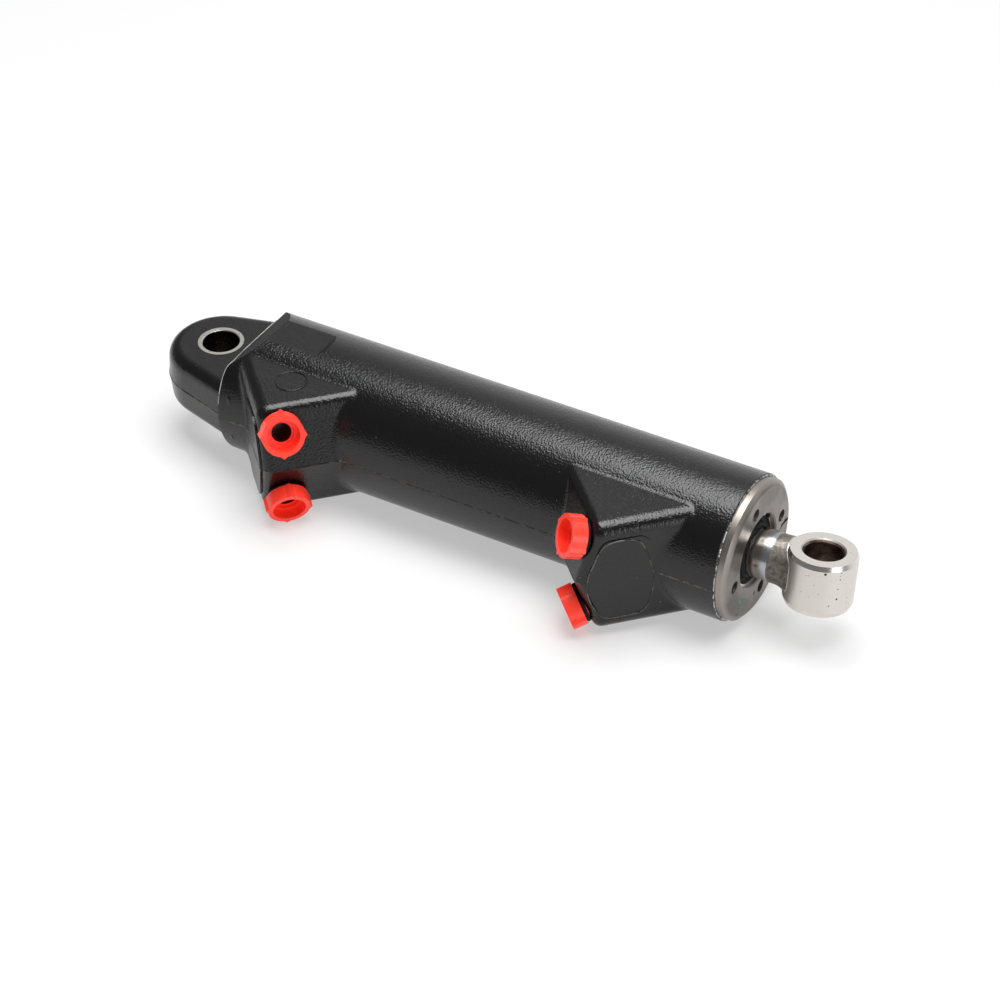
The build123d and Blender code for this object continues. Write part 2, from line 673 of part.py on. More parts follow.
def make_rod_eye_bush():
    """Thin lined bush in the rod eye; the eye's mouth cones run on across its ends."""
    recess = EYE_MOUTH_DEPTH * (EYE_MOUTH - EYE_BUSH_WALL) / EYE_MOUTH
    height = 2 * (EYE_HALF_HEIGHT - recess)
    bush = Cylinder(EYE_BUSH_R, height) - Cylinder(PIN_BORE_R, height)
    bush = Pos(EYE_X, 0, -EYE_DROP) * bush - make_eye_mouths()
    return Rot(EYE_TURN_DEG, 0, 0) * bush


# Port plugs

def make_port_plug(end, half):
    """Red transit plug: a hollow screwed shank under a ribbed round head."""
    base = PORT_RING_CORD
    top = base + PLUG_HEAD_LENGTH
    shank_r = PORT_R - PLUG_SHANK_CLEARANCE
    head_r = PORT_R + PLUG_OVERHANG
    outline = Circle(head_r)
    rib_tip = head_r + PLUG_RIB_HEIGHT
    rib_root = head_r - PLUG_RIB_HEIGHT
    rib = make_face(Polyline(
        (rib_root, -PLUG_RIB_WIDTH), (rib_tip, 0), (rib_root, PLUG_RIB_WIDTH), close=True
    ))
    for index in range(PLUG_RIB_COUNT):
        turn = PLUG_RIB_TURN_DEG + index * 360 / PLUG_RIB_COUNT
        outline += Rot(0, 0, turn) * rib
    head = extrude(Pos(0, 0, base) * outline, PLUG_HEAD_LENGTH)
    plug = head + Pos(0, 0, base - PLUG_SHANK_LENGTH / 2) * Cylinder(shank_r, PLUG_SHANK_LENGTH)
    hole_r = shank_r - PLUG_SHANK_WALL
    for radius, depth in (
        (head_r - PLUG_WALL, PLUG_SOCKET_DEPTH),
        (hole_r + PLUG_STEP_WIDTH, PLUG_SOCKET_DEPTH + PLUG_STEP_DEPTH),
        (hole_r, PLUG_HEAD_LENGTH + PLUG_SHANK_LENGTH - PLUG_FLOOR),
    ):
        plug -= Pos(0, 0, top - depth / 2) * Cylinder(radius, depth)
    return port_plane(end, half) * plug


def make_port_plug_ring(end, half):
    """Rubber ring under the plug's head, squeezed flat against the port face."""
    width = PORT_RING_CORD
    outline = RectangleRounded(width, width, (width - PORT_RING_FLAT) / 2)
    section = Pos(PORT_R + width / 2, width / 2) * outline
    ring = revolve(Plane.XZ * section, axis=Axis.Z)
    return port_plane(end, half) * ring


def write(node, solid):
    """Write one sub-part to its own STEP file."""
    export_step(solid, f"parts/{node}.step")


os.makedirs("parts", exist_ok=True)
write("cylinder_body", make_cylinder_body())
write("base_eye_bush", make_base_eye_bush())
write("gland", make_gland())
write("gland_o_ring", make_gland_o_ring())
write("rod_guide_ring", make_rod_guide_ring())
write("rod_seal", make_rod_seal())
write("rod_wiper", make_rod_wiper())
write("wiper_retainer", make_wiper_retainer())
write("piston_rod", make_piston_rod())
write("piston", make_piston())
write("piston_guide_ring", make_piston_guide_ring())
write("piston_seal", make_piston_seal())
write("piston_o_ring", make_piston_o_ring())
write("piston_nut", make_piston_nut())
write("rod_eye", make_rod_eye())
write("rod_eye_bush", make_rod_eye_bush())
for end in BOSS_APEX_X:
    for half, level in ((1, "upper"), (-1, "lower")):
        write(f"port_plug_{end}_{level}", make_port_plug(end, half))
        write(f"port_plug_ring_{end}_{level}", make_port_plug_ring(end, half))
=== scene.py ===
import math
import random
import bpy
from mathutils import Matrix, Vector


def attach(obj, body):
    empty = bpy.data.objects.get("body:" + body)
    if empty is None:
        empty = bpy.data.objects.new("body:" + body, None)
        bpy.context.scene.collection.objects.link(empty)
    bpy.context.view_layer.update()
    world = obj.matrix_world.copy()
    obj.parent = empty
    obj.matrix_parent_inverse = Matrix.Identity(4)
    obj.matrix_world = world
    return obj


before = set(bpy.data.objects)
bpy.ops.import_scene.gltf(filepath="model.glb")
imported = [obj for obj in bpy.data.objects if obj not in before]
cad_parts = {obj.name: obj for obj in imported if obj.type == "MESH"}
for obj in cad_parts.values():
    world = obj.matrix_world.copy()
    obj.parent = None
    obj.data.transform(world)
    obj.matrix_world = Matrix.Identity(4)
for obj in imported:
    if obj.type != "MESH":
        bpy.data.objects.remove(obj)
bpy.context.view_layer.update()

# The cylinder body is one iron casting, painted gloss black over a sand-cast skin.
# The paint has flowed over the grain, so it shines in small dimples and streaks, and
# dust sits in it. The bore and the front rim are machined after casting and left bare.


def new_material(name):
    """An empty node material with its Principled shader."""
    material = bpy.data.materials.new(name)
    material.use_nodes = True
    tree = material.node_tree
    shader = tree.nodes["Principled BSDF"]
    return material, tree, shader


def put(tree, kind, settings=(), **inputs):
    """Adds a node, sets its properties, and feeds or sets the inputs named."""
    node = tree.nodes.new(kind)
    for key, value in settings:
        setattr(node, key, value)
    for key, value in inputs.items():
        by_number = key[0] == "i" and key[1:].isdigit()
        socket = node.inputs[int(key[1:]) if by_number else key]
        if isinstance(value, bpy.types.NodeSocket):
            tree.links.new(value, socket)
        else:
            socket.default_value = value
    return node


def new_group(name, inputs, outputs):
    """A shader node group with named inputs (name, kind, default) and outputs (name, kind)."""
    group = bpy.data.node_groups.new(name, "ShaderNodeTree")
    for label, kind, default in inputs:
        socket = group.interface.new_socket(label, in_out="INPUT", socket_type=kind)
        if default is not None:
            socket.default_value = default
    for label, kind in outputs:
        group.interface.new_socket(label, in_out="OUTPUT", socket_type=kind)
    start = group.nodes.new("NodeGroupInput")
    end = group.nodes.new("NodeGroupOutput")
    return group, start, end


def use(tree, group, **inputs):
    """Places a node group in a material and feeds or sets its inputs."""
    return put(tree, "ShaderNodeGroup", (("node_tree", group),), **inputs)


def maths(tree, operation, first, second=None, third=None):
    """One math node; returns its output."""
    values = enumerate((first, second, third))
    inputs = {f"i{number}": value for number, value in values if value is not None}
    return put(tree, "ShaderNodeMath", (("operation", operation),), **inputs).outputs[0]


def vector_maths(tree, operation, first, second=None, output="Vector"):
    """One vector math node; returns the output named."""
    inputs = {"i0": first} if second is None else {"i0": first, "i1": second}
    node = put(tree, "ShaderNodeVectorMath", (("operation", operation),), **inputs)
    return node.outputs[output]


def noise(tree, place, scale, detail, roughness=0.5):
    """One noise pattern; returns its value."""
    return put(
        tree, "ShaderNodeTexNoise", Vector=place, Scale=scale, Detail=detail, Roughness=roughness
    ).outputs[0]


def band(tree, value, low, high):
    """Runs smoothly from 0 to 1 as the value goes from low to high."""
    return put(
        tree, "ShaderNodeMapRange", (("interpolation_type", "SMOOTHSTEP"),),
        Value=value, **{"From Min": low, "From Max": high},
    ).outputs[0]


def blend_colour(tree, mask, first, second):
    """Mixes two colours by a mask."""
    return put(
        tree, "ShaderNodeMix", (("data_type", "RGBA"),), i0=mask, i6=first, i7=second
    ).outputs[2]


def object_place(tree):
    """The point on the piece, in the object's own coordinates."""
    return put(tree, "ShaderNodeTexCoord").outputs["Object"]


def axes(tree, place):
    """The three coordinates of a place."""
    return put(tree, "ShaderNodeSeparateXYZ", Vector=place).outputs


def distance_across(tree, first, second):
    """The distance from an axis, from the two coordinates across it."""
    first_square = maths(tree, "MULTIPLY", first, first)
    second_square = maths(tree, "MULTIPLY", second, second)
    return maths(tree, "SQRT", maths(tree, "ADD", first_square, second_square))


def feed(shader, label, value):
    """Links a value to one of the shader's inputs."""
    shader.id_data.links.new(value, shader.inputs[label])


def add_relief(tree, shader, height, strength, distance):
    """Bumps the surface by a height."""
    bump = put(tree, "ShaderNodeBump", Height=height, Strength=strength, Distance=distance)
    feed(shader, "Normal", bump.outputs[0])


def dress(material, *nodes):
    """Gives CAD nodes their material."""
    for node in nodes:
        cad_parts[node].material_slots[0].material = material


# Cast grain: grains of about a millimetre, a scatter of small pits, and slow waves.
cast_grain, start, end = new_group(
    "cast_grain",
    [("Vector", "NodeSocketVector", None), ("Dimple Scale", "NodeSocketFloat", 700.0),
     ("Wave Scale", "NodeSocketFloat", 130.0), ("Wave Share", "NodeSocketFloat", 0.5)],
    [("Height", "NodeSocketFloat")],
)
PIT_SHARE = 0.55
grain_place, dimple_scale = start.outputs["Vector"], start.outputs["Dimple Scale"]
grains = noise(cast_grain, grain_place, dimple_scale, 1.0)
pits = put(cast_grain, "ShaderNodeTexVoronoi", (("feature", "SMOOTH_F1"),),
           Vector=grain_place, Scale=dimple_scale, Smoothness=0.6)
dimples = maths(cast_grain, "MULTIPLY_ADD", pits.outputs["Distance"], PIT_SHARE, grains)
waves = noise(cast_grain, grain_place, start.outputs["Wave Scale"], 1.0, 0.4)
height = maths(cast_grain, "MULTIPLY_ADD", waves, start.outputs["Wave Share"], dimples)
cast_grain.links.new(height, end.inputs["Height"])

# Dust: one small round speck in some of the cells of a coarse pattern.
dust_specks, start, end = new_group(
    "dust_specks",
    [("Vector", "NodeSocketVector", None), ("Cell Scale", "NodeSocketFloat", 260.0),
     ("Speck Size", "NodeSocketFloat", 0.05), ("Share", "NodeSocketFloat", 0.3)],
    [("Mask", "NodeSocketFloat"), ("Tone", "NodeSocketFloat")],
)
cells = put(dust_specks, "ShaderNodeTexVoronoi", Vector=start.outputs["Vector"],
            Scale=start.outputs["Cell Scale"], Randomness=1.0)
pick = put(dust_specks, "ShaderNodeSeparateColor", Color=cells.outputs["Color"])
size = maths(dust_specks, "MULTIPLY", pick.outputs[1], start.outputs["Speck Size"])
near = maths(dust_specks, "LESS_THAN", cells.outputs["Distance"], size)
chosen = maths(dust_specks, "LESS_THAN", pick.outputs[0], start.outputs["Share"])
dust_specks.links.new(maths(dust_specks, "MULTIPLY", near, chosen), end.inputs["Mask"])
dust_specks.links.new(pick.outputs[2], end.inputs["Tone"])

BLACK_PAINT = (0.0032, 0.0032, 0.0035, 1)
PALE_DUST = (0.17, 0.155, 0.135, 1)
RUST_DUST = (0.09, 0.045, 0.022, 1)
BARE_IRON = (0.42, 0.40, 0.37, 1)
BARREL_FRONT = 0.3055
RIM_RADIUS = 0.0362
RIM_EDGE = 0.0004
CHIP_SPREAD = 0.0012
BORE_RADIUS = 0.0302
THREAD_STEP = 0.0026
BORE_BOTTOM = 0.0405
SLOPE_RISE, SLOPE_RUN = 0.8, 0.6
SLOPE_PLACE, SLOPE_SKIN = 0.0071, 0.0003
SLOPE_MIDDLE, SLOPE_HALF = 0.0303, 0.0080
SLOPE_DULL = 0.5
RIPPLE_STRETCH = (1.0, 0.2, 0.2)
RIPPLE_SHARE = 1.3

enamel, tree, shader = new_material("black_enamel")
place = object_place(tree)
along, across, up = axes(tree, place)
off_axis = distance_across(tree, across, up)
grain = use(
    tree, cast_grain,
    **{"Vector": place, "Dimple Scale": 1000.0, "Wave Scale": 170.0, "Wave Share": 0.5},
).outputs["Height"]
specks = use(
    tree, dust_specks,
    **{"Vector": place, "Cell Scale": 340.0, "Speck Size": 0.10, "Share": 0.28},
)
speck_colour = blend_colour(tree, specks.outputs["Tone"], PALE_DUST, RUST_DUST)
paint = blend_colour(tree, specks.outputs["Mask"], BLACK_PAINT, speck_colour)
chips = noise(tree, place, 380.0, 3.0)
rim_place = maths(tree, "ADD", along, maths(tree, "MULTIPLY", chips, CHIP_SPREAD))
past_front = band(tree, rim_place, BARREL_FRONT + RIM_EDGE / 2, BARREL_FRONT + RIM_EDGE)
far_out = band(tree, off_axis, RIM_RADIUS - RIM_EDGE, RIM_RADIUS)
at_rim = maths(tree, "MULTIPLY", past_front, far_out)
at_rim = maths(tree, "MULTIPLY", at_rim, band(tree, chips, 0.40, 0.50))
in_bore = maths(
    tree, "MULTIPLY", maths(tree, "LESS_THAN", off_axis, BORE_RADIUS + THREAD_STEP),
    maths(tree, "GREATER_THAN", along, BORE_BOTTOM),
)
bare = maths(tree, "MAXIMUM", at_rim, in_bore)
feed(shader, "Base Color", blend_colour(tree, bare, paint, BARE_IRON))
feed(shader, "Metallic", bare)
shine = maths(tree, "MULTIPLY_ADD", grain, 0.08, 0.15)
slope_place = maths(
    tree, "SUBTRACT", maths(tree, "MULTIPLY", up, SLOPE_RISE),
    maths(tree, "MULTIPLY", along, SLOPE_RUN),
)
on_slope = maths(
    tree, "MULTIPLY", maths(tree, "COMPARE", slope_place, SLOPE_PLACE, SLOPE_SKIN),
    maths(tree, "COMPARE", along, SLOPE_MIDDLE, SLOPE_HALF),
)
feed(shader, "Roughness", maths(tree, "MULTIPLY_ADD", on_slope, SLOPE_DULL, shine))
shader.inputs["Specular IOR Level"].default_value = 0.45
turned = put(tree, "ShaderNodeMapping", Vector=place, Rotation=(0, 0, -math.pi / 4)).outputs[0]
ripples = noise(tree, vector_maths(tree, "MULTIPLY", turned, RIPPLE_STRETCH), 760.0, 2.0)
at_edges = maths(
    tree, "MULTIPLY", band(tree, across, -0.029, -0.033),
    band(tree, maths(tree, "ABSOLUTE", up), 0.022, 0.026),
)
edge_ripples = maths(tree, "MULTIPLY", ripples, at_edges)
skin_height = maths(tree, "MULTIPLY_ADD", edge_ripples, RIPPLE_SHARE, grain)
add_relief(tree, shader, skin_height, 0.5, 0.0003)
dress(enamel, "cylinder_body")

# Where the mould halves met, a thin fin of iron stands out all round the casting at its
# middle plane. It was dressed back and painted over, and shows as a fine raised line.
FIN_HALF_WIDTH = 0.0005
FIN_HEIGHT = 0.0003
FIN_MIDDLE = 0.00002
EYE_CLEAR = 0.0125
BORE_CLEAR = 0.0335
BLIND_END = 0.030
FRONT_CLEAR = 0.001
PAD_SIDE = -0.0378
ROD_PORT_EDGE = 0.3112
BASE_PORT_EDGE = 0.0203
LUG_REACH = -0.0280
BARREL_SIDE = 0.0375
JOIN_DISTANCE = 0.00001
WORN_PAINT = (0.006, 0.006, 0.006, 1)
GREY_PRIMER = (0.10, 0.086, 0.074, 1)
RUSTY_PRIMER = (0.11, 0.06, 0.036, 1)


def patchy(tree, pattern, low, high, first, second):
    """Mixes two colours as a pattern goes from low to high."""
    return blend_colour(tree, band(tree, pattern, low, high), first, second)


worn_line, tree, shader = new_material("worn_line")
place = object_place(tree)
wear_and_highlight_breaks = noise(tree, place, 260.0, 3.0, 0.6)
rust = noise(tree, place, 520.0, 2.0)
primer = patchy(tree, rust, 0.52, 0.66, GREY_PRIMER, RUSTY_PRIMER)
feed(shader, "Base Color", patchy(tree, wear_and_highlight_breaks, 0.44, 0.58, WORN_PAINT, primer))
feed(shader, "Roughness", maths(tree, "MULTIPLY_ADD", wear_and_highlight_breaks, 0.5, 0.1))
add_relief(tree, shader, rust, 0.5, 0.0002)


def copy_of(node, name):
    """A CAD node's mesh as a new piece, with its loose triangles joined up."""
    bpy.ops.object.select_all(action="DESELECT")
    piece = bpy.data.objects.new(name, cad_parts[node].data.copy())
    bpy.context.scene.collection.objects.link(piece)
    piece.data.materials.clear()
    piece.select_set(True)
    bpy.context.view_layer.objects.active = piece
    bpy.ops.mesh.customdata_custom_splitnormals_clear()
    bpy.ops.object.mode_set(mode="EDIT")
    bpy.ops.mesh.select_all(action="SELECT")
    bpy.ops.mesh.remove_doubles(threshold=JOIN_DISTANCE)
    bpy.ops.object.mode_set(mode="OBJECT")
    return piece


def select_faces(piece, wanted):
    """Selects the faces whose centre passes the test, in edit mode."""
    bpy.ops.mesh.select_all(action="DESELECT")
    bpy.ops.object.mode_set(mode="OBJECT")
    for polygon in piece.data.polygons:
        polygon.select = wanted(polygon.center)
    bpy.ops.object.mode_set(mode="EDIT")
    bpy.ops.mesh.select_mode(type="FACE")


def has_no_fin(centre):
    """True in the two bores, on the front rim and on the machined port faces."""
    in_eye = math.hypot(centre.x, centre.y) < EYE_CLEAR
    in_bore = abs(centre.y) < BORE_CLEAR and centre.x > BLIND_END
    at_front = centre.x > BARREL_FRONT - FRONT_CLEAR
    past_port = centre.x - centre.y > ROD_PORT_EDGE or -centre.x - centre.y > BASE_PORT_EDGE
    return in_eye or in_bore or at_front or (centre.y < PAD_SIDE and past_port)


fin = copy_of("cylinder_body", "parting_fin")
bpy.ops.object.mode_set(mode="EDIT")
for side in (1, -1):
    bpy.ops.mesh.select_all(action="SELECT")
    bpy.ops.mesh.bisect(
        plane_co=(0, 0, side * FIN_HALF_WIDTH), plane_no=(0, 0, side), clear_outer=True
    )
select_faces(fin, has_no_fin)
bpy.ops.mesh.delete(type="FACE")
bpy.ops.mesh.select_all(action="SELECT")
bpy.ops.mesh.bisect(plane_co=(0, 0, 0), plane_no=(0, 0, 1))
bpy.ops.mesh.select_all(action="DESELECT")
bpy.ops.object.mode_set(mode="OBJECT")
for vertex in fin.data.vertices:
    vertex.select = abs(vertex.co.z) < FIN_MIDDLE
bpy.ops.object.mode_set(mode="EDIT")
bpy.ops.mesh.select_mode(type="VERT")
bpy.ops.transform.shrink_fatten(value=FIN_HEIGHT)
bpy.ops.object.mode_set(mode="OBJECT")
for vertex in fin.data.vertices:
    vertex.co.x = max(vertex.co.x, LUG_REACH)
    vertex.co.y = min(vertex.co.y, BARREL_SIDE)
fin.data.materials.append(worn_line)
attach(fin, "barrel")

# The rod end's port boss keeps the raised outline of its pattern plate: a thin uneven
# ridge round the pad, worn through to primer and rust.
PAD_BEAD = 0.00032
PAD_DEPTH = 0.2211
PAD_LEAN = math.sqrt(0.5)
PAD_OUTLINE = (
    (0.1338, 0.0040), (0.1371, 0.0118), (0.1392, 0.0178), (0.1417, 0.0216), (0.1460, 0.0232),
    (0.1508, 0.0235), (0.1560, 0.0229), (0.1602, 0.0208), (0.1630, 0.0150), (0.1648, 0.0082),
    (0.1662, 0.0030), (0.1672, -0.0020), (0.1668, -0.0075), (0.1652, -0.0169),
    (0.1628, -0.0216), (0.1592, -0.0237), (0.1508, -0.0238), (0.1427, -0.0235),
    (0.1388, -0.0190), (0.1352, -0.0117), (0.1334, -0.0040),
)


def add_bead(name, points, radius, closed, material, uneven):
    """A thin round ridge that follows the points, half sunk in the casting."""
    curve = bpy.data.curves.new(name, "CURVE")
    curve.dimensions = "3D"
    curve.bevel_depth = radius
    curve.bevel_resolution = 2
    spline = curve.splines.new("NURBS")
    spline.points.add(len(points) - 1)
    spline.use_cyclic_u = closed
    spline.use_endpoint_u = not closed
    spline.order_u = 3
    spline.resolution_u = 6
    for point, place in zip(spline.points, points):
        point.co = (*place, 1)
        point.radius = 1 + uneven * chance.uniform(-1, 1)
    bead = bpy.data.objects.new(name, curve)
    bpy.context.scene.collection.objects.link(bead)
    bpy.ops.object.select_all(action="DESELECT")
    bead.select_set(True)
    bpy.context.view_layer.objects.active = bead
    bpy.ops.object.convert(target="MESH")
    bead = bpy.context.object
    bpy.ops.object.shade_smooth()
    bead.data.materials.clear()
    bead.data.materials.append(material)
    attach(bead, "barrel")


chance = random.Random(5)
pad_points = [
    ((PAD_DEPTH + run) * PAD_LEAN, (run - PAD_DEPTH) * PAD_LEAN, rise)
    for run, rise in PAD_OUTLINE
]
add_bead("pad_outline", pad_points, PAD_BEAD, True, worn_line, uneven=0.5)

# Where the lug runs in under the blind end's slanting face, a thin bead along the edge
# carries one long thin bright line, a painted highlight broken into patches.
CROWN_BEAD = 0.00024
CROWN_EDGE = (
    (0.0226, 0.0190, 0.0258), (0.0225, 0.0120, 0.0257), (0.0225, 0.0030, 0.0257),
    (0.0225, -0.0060, 0.0257), (0.0226, -0.0135, 0.0258), (0.0236, -0.0195, 0.0266),
    (0.0244, -0.0240, 0.0272), (0.0232, -0.0272, 0.0262), (0.0225, -0.0300, 0.0226),
    (0.0225, -0.0332, 0.0174), (0.0225, -0.0355, 0.0121), (0.0225, -0.0366, 0.0080),
)
DARK_EDGE = (0.03, 0.03, 0.03, 1)
PAINTED_EDGE_HIGHLIGHT = (0.46, 0.44, 0.42, 1)
edge_highlight, tree, shader = new_material("painted_highlight_edge")
wear_and_highlight_breaks = noise(tree, object_place(tree), 190.0, 2.0)
# The pale patches on this bead are a painted highlight, broken up by the noise.
feed(shader, "Base Color", patchy(tree, wear_and_highlight_breaks, 0.30, 0.50, DARK_EDGE, PAINTED_EDGE_HIGHLIGHT))
shader.inputs["Roughness"].default_value = 0.35
add_bead("crown_edge", CROWN_EDGE, CROWN_BEAD, False, edge_highlight, uneven=0.35)

# A thin plain ring stands on the flat top of the base end's port boss. It is cast in one
# with the boss, and painted over with it.
RING_BEAD = 0.0004
RING_PLACE = (0.0635, -0.0287, 0.0320)
RING_RADIUS = 0.0080
RING_STEPS = 24
ring_turns = [step * math.tau / RING_STEPS for step in range(RING_STEPS)]
ring_points = [
    (RING_PLACE[0] + RING_RADIUS * math.cos(turn), RING_PLACE[1] + RING_RADIUS * math.sin(turn),
     RING_PLACE[2]) for turn in ring_turns
]
add_bead("cast_ring", ring_points, RING_BEAD, True, enamel, uneven=0.25)

# The base eye's bush is turned steel, pressed through the lug and left bare. Its ends
# are nicked from handling.

# Turned marks: fine rings about the local Z axis, from the distance to it and the height.
turned_marks, start, end = new_group(
    "turned_marks",
    [("Vector", "NodeSocketVector", None), ("Pitch", "NodeSocketFloat", 1500.0)],
    [("Height", "NodeSocketFloat")],
)
first, second, third = axes(turned_marks, start.outputs["Vector"])
away = distance_across(turned_marks, first, second)
ring_place = put(turned_marks, "ShaderNodeCombineXYZ", X=away, Y=third).outputs[0]
rings = noise(turned_marks, ring_place, start.outputs["Pitch"], 3.0, 0.6)
turned_marks.links.new(rings, end.inputs["Height"])

BUSH_FACE = 0.0167
BUSH_EDGE = (0.0009, 0.0005)
BUSH_RING, NICKED = (0.57, 0.55, 0.51, 1), (0.16, 0.13, 0.11, 1)
BUSH_BORE_SHADE, BORE_RUST = (0.055, 0.05, 0.045, 1), (0.20, 0.10, 0.05, 1)
bush_steel, tree, shader = new_material("bush_steel")
shader.inputs["Metallic"].default_value = 1.0
place = object_place(tree)
marks = use(tree, turned_marks, Vector=place, Pitch=2600.0).outputs[0]
nicks = noise(tree, place, 900.0, 2.0)
ring_face = patchy(tree, nicks, 0.62, 0.7, BUSH_RING, NICKED)
# Inside the bore the steel is painted near black as painted shade, with rust specks on it.
bore_shade_and_rust = patchy(tree, nicks, 0.55, 0.72, BUSH_BORE_SHADE, BORE_RUST)
outward = maths(tree, "ABSOLUTE", axes(tree, place)[2])
feed(shader, "Base Color", patchy(
    tree, outward, BUSH_FACE - BUSH_EDGE[0], BUSH_FACE - BUSH_EDGE[1], bore_shade_and_rust, ring_face))
feed(shader, "Roughness", maths(tree, "MULTIPLY_ADD", marks, 0.3, 0.15))
rough = maths(tree, "ADD", marks, maths(tree, "MULTIPLY", nicks, 1.5))
add_relief(tree, shader, rough, 0.4, 0.0001)
dress(bush_steel, "base_eye_bush")

# The gland is turned from steel bar: a flange with a wide bevel, blind holes for a face
# spanner, and a thread hidden in the barrel. It is bare, lightly oiled and a little stained.
GLAND_RADIUS = 0.036
GLAND_FACE = 0.3107
GLAND_BEVEL = 0.0031
GLAND_EDGE = 0.0004
SPANNER_PITCH = 0.0254
SPANNER_RADIUS = 0.0032
SPANNER_SLACK = 0.0003
SPOT_EDGE = 0.0001
PALE_FACE, STAINED_FACE = (0.235, 0.213, 0.195, 1), (0.14, 0.125, 0.112, 1)
GLAND_RIM = (0.30, 0.272, 0.245, 1)
GLAND_SPECK = (0.02, 0.03, 0.03, 1)
PAINTED_HOLE_LIGHT = (0.34, 0.30, 0.26, 1)
TEAL_PAINT = (0.0, 0.35, 0.32, 1)
PUNCHED = (0.012, 0.010, 0.009, 1)
GLAND_SPOTS = (
    (-0.0184, -0.0178, 0.0009, TEAL_PAINT),
    (-0.0181, -0.0193, 0.0009, TEAL_PAINT),
    (-0.0027, -0.0244, 0.0012, PUNCHED),
    (-0.0211, -0.0240, 0.0006, PUNCHED),
    (0.0300, -0.0010, 0.0010, PUNCHED),
    (0.0287, -0.0016, 0.0010, PUNCHED),
    (0.0274, -0.0022, 0.0010, PUNCHED),
    (0.0261, -0.0028, 0.0010, PUNCHED),
    (0.0248, -0.0034, 0.0009, PUNCHED),
    (0.0236, -0.0040, 0.0007, PUNCHED),
)


def marks_along_x(tree, place, pitch):
    """Turned marks about the cylinder's own axis, X."""
    upright = put(tree, "ShaderNodeMapping", Vector=place, Rotation=(0, -math.pi / 2, 0))
    return use(tree, turned_marks, Vector=upright.outputs[0], Pitch=pitch).outputs[0]


gland_steel, tree, shader = new_material("gland_steel")
shader.inputs["Metallic"].default_value = 1.0
place = object_place(tree)
along, across, up = axes(tree, place)
off_axis = distance_across(tree, across, up)
marks = marks_along_x(tree, place, 1300.0)
stain = noise(tree, place, 60.0, 4.0, 0.6)
face_tone = patchy(tree, stain, 0.35, 0.65, PALE_FACE, STAINED_FACE)
tone = patchy(
    tree, off_axis, GLAND_RADIUS - GLAND_BEVEL, GLAND_RADIUS - GLAND_EDGE, face_tone, GLAND_RIM
)
specks = use(
    tree, dust_specks,
    **{"Vector": place, "Cell Scale": 330.0, "Speck Size": 0.13, "Share": 0.22},
)
marked = blend_colour(tree, specks.outputs["Mask"], tone, GLAND_SPECK)
in_spanner_holes = maths(
    tree, "MULTIPLY", maths(tree, "LESS_THAN", along, GLAND_FACE - GLAND_EDGE),
    maths(tree, "COMPARE", off_axis, SPANNER_PITCH, SPANNER_RADIUS + SPANNER_SLACK),
)
# The spanner holes are painted a light beige inside: painted light on their walls.
marked = blend_colour(tree, in_spanner_holes, marked, PAINTED_HOLE_LIGHT)
for spot_across, spot_up, radius, colour in GLAND_SPOTS:
    away = vector_maths(tree, "DISTANCE", place, (GLAND_FACE, spot_across, spot_up), "Value")
    marked = patchy(tree, away, radius, radius - SPOT_EDGE, marked, colour)
feed(shader, "Base Color", marked)
feed(shader, "Roughness", maths(
    tree, "ADD", maths(tree, "MULTIPLY_ADD", marks, 0.22, 0.27),
    maths(tree, "MULTIPLY", in_spanner_holes, 0.05)))
add_relief(tree, shader, marks, 0.35, 0.00012)
dress(gland_steel, "gland")

# Rubber: the wiper in the gland's recess, the rings under the plugs' heads and the hidden
# seals. Moulded black nitrile with a faint bloom.
BLACK_RUBBER, RUBBER_BLOOM = (0.003, 0.003, 0.003, 1), (0.009, 0.0088, 0.0085, 1)
rubber, tree, shader = new_material("nitrile_rubber")
bloom = noise(tree, object_place(tree), 420.0, 3.0)
feed(shader, "Base Color", blend_colour(tree, bloom, BLACK_RUBBER, RUBBER_BLOOM))
feed(shader, "Roughness", maths(tree, "MULTIPLY_ADD", bloom, 0.2, 0.6))
shader.inputs["Specular IOR Level"].default_value = 0.2
add_relief(tree, shader, bloom, 0.2, 0.0001)
dress(
    rubber, "rod_wiper", "gland_o_ring", "rod_seal", "piston_seal", "piston_o_ring",
    "port_plug_ring_base_upper", "port_plug_ring_base_lower",
    "port_plug_ring_rod_upper", "port_plug_ring_rod_lower",
)

# Bearing strips: the two split rings that carry the rod and the piston are a woven
# filled plastic, tan and dull.
DARK_WEAVE, PALE_WEAVE = (0.22, 0.17, 0.10, 1), (0.42, 0.34, 0.22, 1)
strip, tree, shader = new_material("bearing_strip")
threads = noise(tree, object_place(tree), 1400.0, 2.0)
feed(shader, "Base Color", blend_colour(tree, threads, DARK_WEAVE, PALE_WEAVE))
shader.inputs["Roughness"].default_value = 0.6
add_relief(tree, shader, threads, 0.3, 0.0001)
dress(strip, "rod_guide_ring", "piston_guide_ring")

# Plain machined steel: the piston and its nut inside the barrel, and the spring ring that
# holds the wiper in the gland. They are turned and left bare.
plain_steel, tree, shader = new_material("plain_steel")
shader.inputs["Base Color"].default_value = (0.74, 0.72, 0.69, 1)
shader.inputs["Metallic"].default_value = 1.0
marks = marks_along_x(tree, object_place(tree), 1800.0)
feed(shader, "Roughness", maths(tree, "MULTIPLY_ADD", marks, 0.3, 0.12))
add_relief(tree, shader, marks, 0.25, 0.0001)
dress(plain_steel, "piston", "piston_nut", "wiper_retainer")

